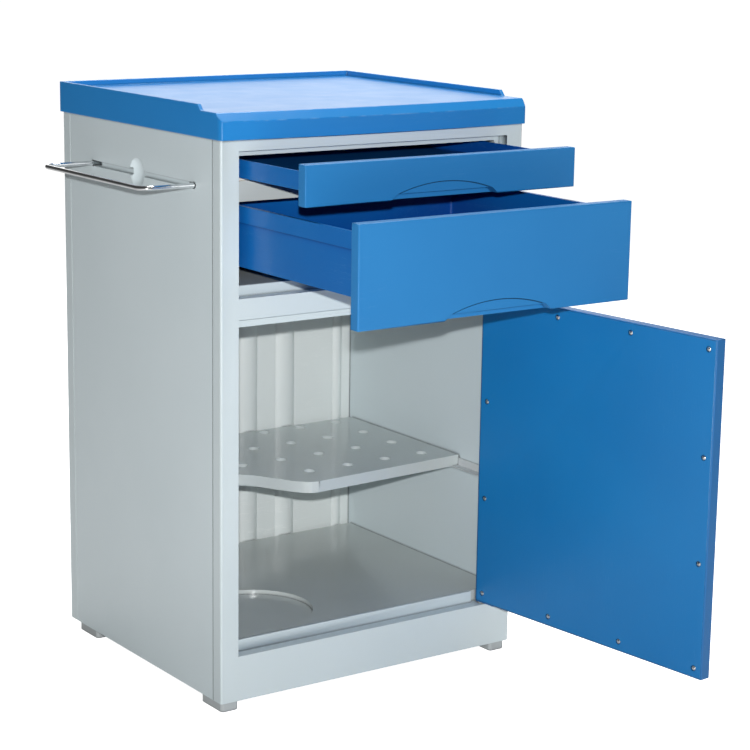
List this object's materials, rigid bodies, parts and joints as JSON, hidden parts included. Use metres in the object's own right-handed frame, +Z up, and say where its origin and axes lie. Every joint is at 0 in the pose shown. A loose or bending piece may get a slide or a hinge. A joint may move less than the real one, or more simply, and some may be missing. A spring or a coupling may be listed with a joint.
{
  "type": "bedside cabinet",
  "caption": "Moulded ward bedside cabinet with bowed top tray, shallow and deep drawer, hinged door, perforated shelf and push-in towel rail.",
  "frame": {"origin": "on the floor, midway between the four feet's stem holes", "axes": "+X to the cabinet's right seen from the front, +Y to the back, +Z up"},
  "size_m": [0.5429, 0.7935, 0.76],
  "materials": {
    "body_grey": "smooth moulded ABS, low gloss",
    "inner_grey": "smooth moulded ABS",
    "cabinet_blue": "smooth moulded ABS with a fine orange-peel gloss",
    "drawer_blue": "smooth moulded ABS",
    "nylon": "natural nylon",
    "painted_steel": "epoxy powder coat",
    "screw_steel": "zinc plated",
    "foot_grey": "moulded grey plastic",
    "rail_chrome": "polished"
  },
  "bodies": {
    "carcass": {"front_frame": "body_grey", "rear_frame": "body_grey", "left_side_panel": "body_grey", "right_side_panel": "body_grey", "back_panel": "inner_grey", "back_panel_screws": "screw_steel", "base_panel": "inner_grey", "mid_deck": "inner_grey", "drawer_divider": "inner_grey", "top_tray": "cabinet_blue", "shelf": "inner_grey", "left_shelf_ledge": "painted_steel", "right_shelf_ledge": "painted_steel", "upper_left_runner": "painted_steel", "upper_right_runner": "painted_steel", "lower_left_runner": "painted_steel", "lower_right_runner": "painted_steel", "upper_runner_pads": "nylon", "lower_runner_pads": "nylon", "front_left_foot": "foot_grey", "front_right_foot": "foot_grey", "rear_left_foot": "foot_grey", "rear_right_foot": "foot_grey", "upper_hinge_bush": "nylon", "lower_hinge_bush": "nylon", "door_magnet": "nylon", "rail_wall_bushes": "nylon", "rail_inner_brackets": "nylon"},
    "upper_drawer": {"upper_drawer_tray": "drawer_blue", "upper_drawer_front": "cabinet_blue", "upper_drawer_grip": "cabinet_blue", "upper_drawer_glides": "nylon", "upper_front_screws": "screw_steel"},
    "lower_drawer": {"lower_drawer_tray": "drawer_blue", "lower_drawer_front": "cabinet_blue", "lower_drawer_grip": "cabinet_blue", "lower_drawer_glides": "nylon", "lower_front_screws": "screw_steel"},
    "door": {"door_shell": "cabinet_blue", "door_inner_skin": "drawer_blue", "door_skin_screws": "screw_steel", "door_upper_pin": "screw_steel", "door_lower_pin": "screw_steel", "door_strike_plate": "painted_steel"},
    "towel_rail": {"towel_rail_bar": "rail_chrome", "rail_end_stops": "nylon"}
  },
  "joints": [
    {"name": "upper_drawer_slide", "type": "slide", "parent": "carcass", "child": "upper_drawer", "axis": [0, -1, 0], "range_m": [-0.141, 0.109]},
    {"name": "lower_drawer_slide", "type": "slide", "parent": "carcass", "child": "lower_drawer", "axis": [0, -1, 0], "range_m": [-0.25, 0]},
    {"name": "door_hinge", "type": "hinge", "parent": "carcass", "child": "door", "pos_m": [0.191, -0.188, 0.286], "axis": [0, 0, 1], "range_deg": [-96, 14]},
    {"name": "towel_rail_slide", "type": "slide", "parent": "carcass", "child": "towel_rail", "axis": [-1, 0, 0], "range_m": [-0.072, 0]}
  ]
}
